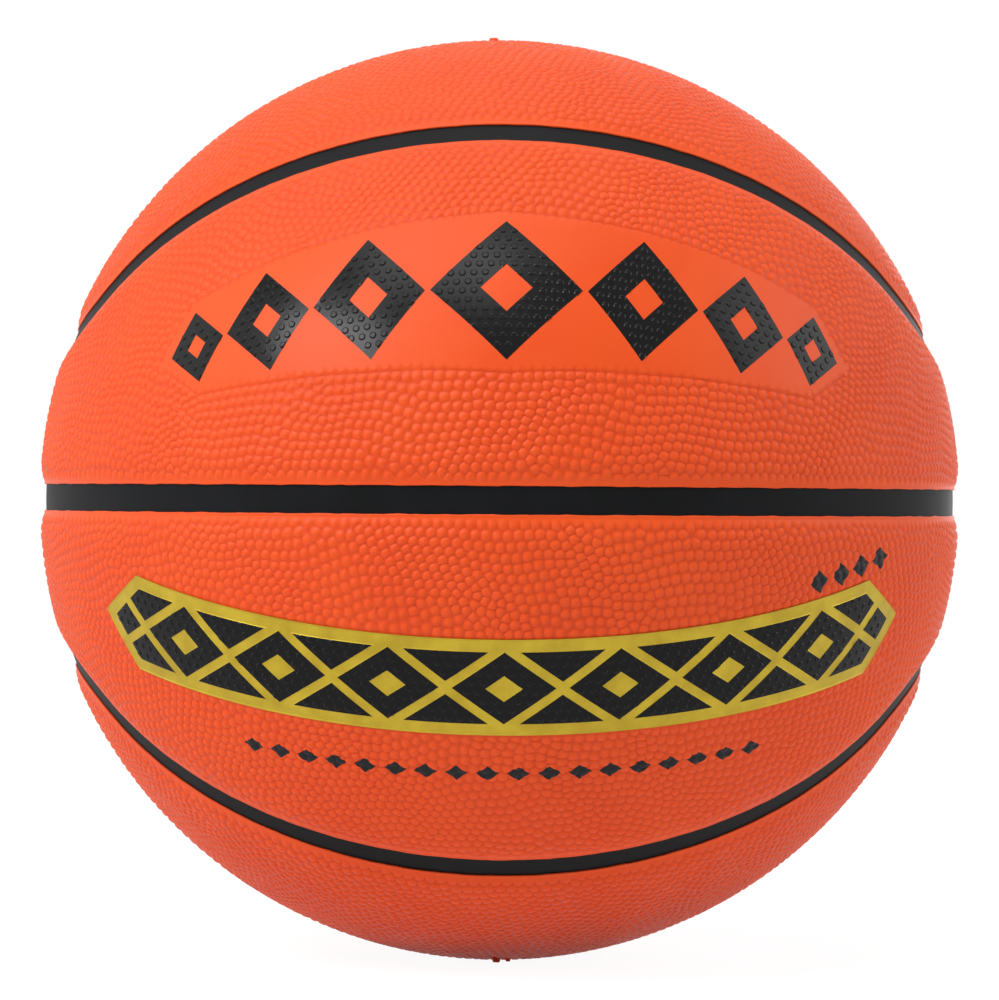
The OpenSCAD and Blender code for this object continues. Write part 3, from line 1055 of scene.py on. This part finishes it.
def makeLowerPrint():
    ribbon = mirroredOutline(lowerPrint["ribbon"])
    zone = {"guide": lowerPrint["panelGuide"], "outline": ribbon, "depth": -lowerPrint["plateHeight"]}
    makePanel("lower_front_panel", zone, markedMaterial)
    ribbon = ribbon[::-1]
    shapes = ribbonShapes(grown(ribbon, -lowerPrint["border"]))
    step, rimWidth = lowerPrint["step"], lowerPrint["rimWidth"]
    creases = [grown(ribbon, -step), grown(ribbon, -rimWidth)]
    for outline, hole in shapes:
        creases += [outline, grown(outline, step)] + ([hole, grown(hole, -step)] if hole is not None else [])
    inner = hexagonPlaces(ribbon.min(axis=0), ribbon.max(axis=0), studs["pitch"])
    toInk = shapeDistance(shapes, inner)
    toEdge = outlineDistance(ribbon, inner)[0]
    inner = inner[(toEdge < -lowerPrint["edgeClear"]) & (np.abs(toInk) > lowerPrint["inkClear"])]

    def goldAt(uv):
        edge = np.interp(-outlineDistance(ribbon, uv)[0], [step, rimWidth],
                         [lowerPrint["rimHeight"], lowerPrint["goldHeight"]])
        pedestal = np.interp(shapeDistance(shapes, uv), [0, step],
                             [lowerPrint["inkHeight"] - lowerPrint["inkRest"], lowerPrint["goldHeight"]])
        return np.maximum(edge, pedestal)

    makeFilm("lower_front_ribbon", lowerPrint["guide"], [(ribbon, None)], creases, inner, goldAt,
             lowerPrint["plateHeight"] - lowerPrint["goldSink"], goldInkMaterial)
    makeInk("lower_front_print", lowerPrint, shapes, lowerPrint["inkHeight"])


makeUpperPrint()
makeLowerPrint()
for node in list(panels)[2:]:  # the first two came with their prints
    makePanel(node)


# Stubs of rubber left where the mould's vents were trimmed. In both profiles a ring's radius is a share
# of the stub's; its height is in mm for the foot, and a share of the stub's for the body
ventStubs = {
    "places": {  # place in mm, radius and height
        "top_vent_stub": ((-2.3, -9.5, 114.8), 1.1, 0.55),
        "bottom_vent_stub": ((-0.3, -19.0, -113.6), 0.95, 0.85),
        "bottom_small_vent_stub": ((2.6, -18.6, -113.6), 0.6, 0.6),
    },
    "foot": ((1.2, -0.5), (1.15, -0.1)),
    "body": ((1.02, 0.3), (0.94, 0.78), (0.66, 0.97)),
    "corners": 18,
    "wobble": 0.07,
    "unevenness": 0.04,
    "sink": 0.5,
}


def makeVentStub(name, place, radius, height, seed):
    rng = np.random.default_rng(seed)
    outward = unit(np.array(place, float))
    side = unit(np.cross(outward, [0.0, 1.0, 0.3]))
    other = np.cross(outward, side)
    profile = ventStubs["foot"] + tuple((share, rise * height) for share, rise in ventStubs["body"])
    count, wobble, uneven = ventStubs["corners"], ventStubs["wobble"], ventStubs["unevenness"]
    turns = np.arange(count) * 2 * math.pi / count
    ring = np.cos(turns)[:, None] * side + np.sin(turns)[:, None] * other
    verts, faces = [], []
    for share, rise in profile:
        reach = radius * share * (1 + rng.uniform(-wobble, wobble, count))
        lift = ballR + rise + rng.uniform(-uneven, uneven, count) * (rise > 0)
        verts.append(outward * lift[:, None] + ring * reach[:, None])
    verts = np.vstack(verts + [outward[None] * (ballR + height), outward[None] * (ballR - ventStubs["sink"])])
    last = (len(profile) - 1) * count
    for k in range(0, last, count):
        for n in range(count):
            after = (n + 1) % count
            faces.append([k + n, k + after, k + count + after, k + count + n])
    for n in range(count):
        after = (n + 1) % count
        faces.append([last + n, last + after, len(verts) - 2])
        faces.append([after, n, len(verts) - 1])
    piece = makeObject(name, verts * mm, faces, coverMaterial)
    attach(piece, "root")


for seed, (name, (place, radius, height)) in enumerate(ventStubs["places"].items()):
    makeVentStub(name, place, radius, height, seed)


# Rubbers of the pieces inside, which show when the ball is taken apart: dull, with a coarse grain
insideRubbers = {
    "butylRubberMoulded": ("#242427", "#1A1A1C", 5.0),
    "brownRubberCalendered": ("#5A3527", "#46271D", 8.0),
    "valveRubberMoulded": ("#28282B", "#1D1D1F", 1.5),
    "valvePlugRubberMoulded": ("#3A3A3E", "#2E2E31", 1.0),
}
insideMaterials = {
    name: makeMottled(name, {"pale": pale, "deep": deep, "cloudSize": cloudSize, "grainSize": 0.6,
                             "grainDepth": 0.05, "bump": 0.3, "dull": 0.65, "bright": 0.5,
                             "ior": 1.52, "gloss": 0.4})
    for name, (pale, deep, cloudSize) in insideRubbers.items()
}
# Nylon thread wound round the bladder in great circles: fine crossing ridges
nylonThread = {
    "pale": "#E6E0D0", "deep": "#A9A08B", "ridge": 6.0, "waviness": 0.6, "bump": 0.6, "depth": 0.2,
    "layers": ((0.3, 0.2, 0.0), (1.2, 0.4, 0.7), (0.5, 1.1, 2.1)),  # turns of the windings, in radians
    "roughness": 0.55, "metallic": 0.0, "ior": 1.53,
}


def makeThread():
    material, tree = newMaterial("nylonThreadWound")
    place = (addNode(tree, "TexCoord"), "Object")
    height = None
    for turn in nylonThread["layers"]:
        turned = addNode(tree, "Mapping", {"Vector": place}, Rotation=turn)
        wave = addNode(tree, "TexWave", {"Vector": (turned, "Vector")},
                       Scale=1000 / nylonThread["ridge"], Distortion=nylonThread["waviness"])
        if height:
            wave = addNode(tree, "Math", {0: height, 1: (wave, "Fac")}, operation="MAXIMUM")
        height = (wave, wave.outputs[-1].name)
    tint = addNode(tree, "ValToRGB", {"Fac": height})
    for element, tone in zip(tint.color_ramp.elements, ("deep", "pale")):
        element.color = linear(nylonThread[tone])
    addSurface(tree, tint, height, nylonThread)
    return material


stripMaterial = makeMottled("blackRubberCalendered", stripRubber)
nodeMaterials = {
    "bladder": insideMaterials["butylRubberMoulded"],
    "valve_patch": insideMaterials["butylRubberMoulded"],
    "carcass": insideMaterials["brownRubberCalendered"],
    "thread_winding": makeThread(),
    "valve_boot": insideMaterials["valveRubberMoulded"],
    "valve_core": insideMaterials["valvePlugRubberMoulded"],
}
for name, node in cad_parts.items():
    material = stripMaterial if name.endswith("_strip") else nodeMaterials.get(name, coverMaterial)
    node.data.materials.clear()
    node.data.materials.append(material)
print("materials done")

# The camera stands 10 ball radii away, level with the ball's middle, and turned a little round it
camera = {"distance": 1.152, "lens": 164.94, "sensor": 36, "clip": (0.05, 100),
          "turn": (-0.031, -0.382, -0.719)}
turn = Matrix.Identity(3)
for axis, degrees in zip("XYZ", camera["turn"]):
    turn = Matrix.Rotation(math.radians(degrees), 3, axis) @ turn
back = turn @ Vector((0, -1, 0))
axes = Matrix((turn @ Vector((1, 0, 0)), turn @ Vector((0, 0, 1)), back)).transposed()
cameraData = bpy.data.cameras.new("camera")
cameraData.sensor_fit = "HORIZONTAL"
cameraData.sensor_width = camera["sensor"]
cameraData.lens = camera["lens"]
cameraData.clip_start, cameraData.clip_end = camera["clip"]
cameraObject = bpy.data.objects.new("camera", cameraData)
cameraObject.matrix_world = Matrix.Translation(back * camera["distance"]) @ axes.to_4x4()
scene.collection.objects.link(cameraObject)
scene.camera = cameraObject
scene.view_settings.view_transform = "Standard"

# Soft studio light: one panel high at the left and one above, weaker ones in front, beside and behind
lamps = {
    # place, size and power, in metres and watts
    "widePanel": ((-0.99, -0.86, 0.91), (0.7, 0.3), 11.0),
    "highFront": ((-0.35, -0.78, 1.25), (0.8, 0.45), 4.3),
    "overhead": ((-0.15, -0.22, 1.47), (1.4, 1.4), 8.4),
    "leftSide": ((-1.42, 0.0, 0.45), (1.0, 1.0), 3.0),
    "rightSide": ((1.38, -0.12, 0.66), (1.0, 1.0), 7.1),
    "rear": ((0.4, 1.5, 0.3), (1.2, 1.0), 6.5),
}
for name, (place, sides, power) in lamps.items():
    data = bpy.data.lights.new(name, "AREA")
    data.shape = "RECTANGLE"
    data.size, data.size_y = sides
    data.energy = power
    light = bpy.data.objects.new(name, data)
    turned = Vector(place).to_track_quat("Z", "Y").to_matrix().to_4x4()
    light.matrix_world = Matrix.Translation(place) @ turned
    scene.collection.objects.link(light)


# 1 where the background is seen, straight or in gloss and glass, and 0 where it only lights the ball
def addSeenMask(tree):
    rays = addNode(tree, "LightPath")
    seen = addNode(tree, "Math", {0: (rays, "Is Camera Ray"), 1: (rays, "Is Glossy Ray")},
                   operation="MAXIMUM")
    return addNode(tree, "Math", {0: (seen, "Value"), 1: (rays, "Is Transmission Ray")},
                   operation="MAXIMUM")


room = {"light": 0.17, "colour": "#FFFFFF"}
world = bpy.data.worlds.new("paleRoom")
scene.world = world
world.use_nodes = True
tree = world.node_tree
tree.nodes.clear()
strength = addNode(tree, "MapRange", {"Value": (addSeenMask(tree), "Value")},
                   To_Min=room["light"], To_Max=1.0)
sky = addNode(tree, "Background", {"Strength": (strength, "Result")}, Color=linear(room["colour"]))
addNode(tree, "OutputWorld", {"Surface": (sky, "Background")})

# A pale floor, mostly its own white to the camera, with a little of the ball's shadow
floorLook = {"size": 3.0, "grey": "#F2F2F0", "lit": "#FFFFFF", "shadowShare": 0.16, "glow": 1.12}
floorMaterial, tree = newMaterial("paleFloor")
dull = addNode(tree, "BsdfDiffuse", Color=linear(floorLook["grey"]))
bright = addNode(tree, "BsdfDiffuse", Color=linear(floorLook["lit"]))
glow = addNode(tree, "Emission", Strength=floorLook["glow"])
white = addNode(tree, "MixShader", {1: (glow, "Emission"), 2: (bright, "BSDF")},
                Fac=floorLook["shadowShare"])
chosen = addNode(tree, "MixShader",
                 {"Fac": (addSeenMask(tree), "Value"), 1: (dull, "BSDF"), 2: (white, "Shader")})
addNode(tree, "OutputMaterial", {"Surface": (chosen, "Shader")})
half = floorLook["size"] / 2
low = cadBox[0][2]
floor = makeObject("floor", [(-half, -half, low), (half, -half, low), (half, half, low), (-half, half, low)],
                   [[0, 1, 2, 3]], floorMaterial, False)
print("stage done", round(time.time() - started, 1), "s")
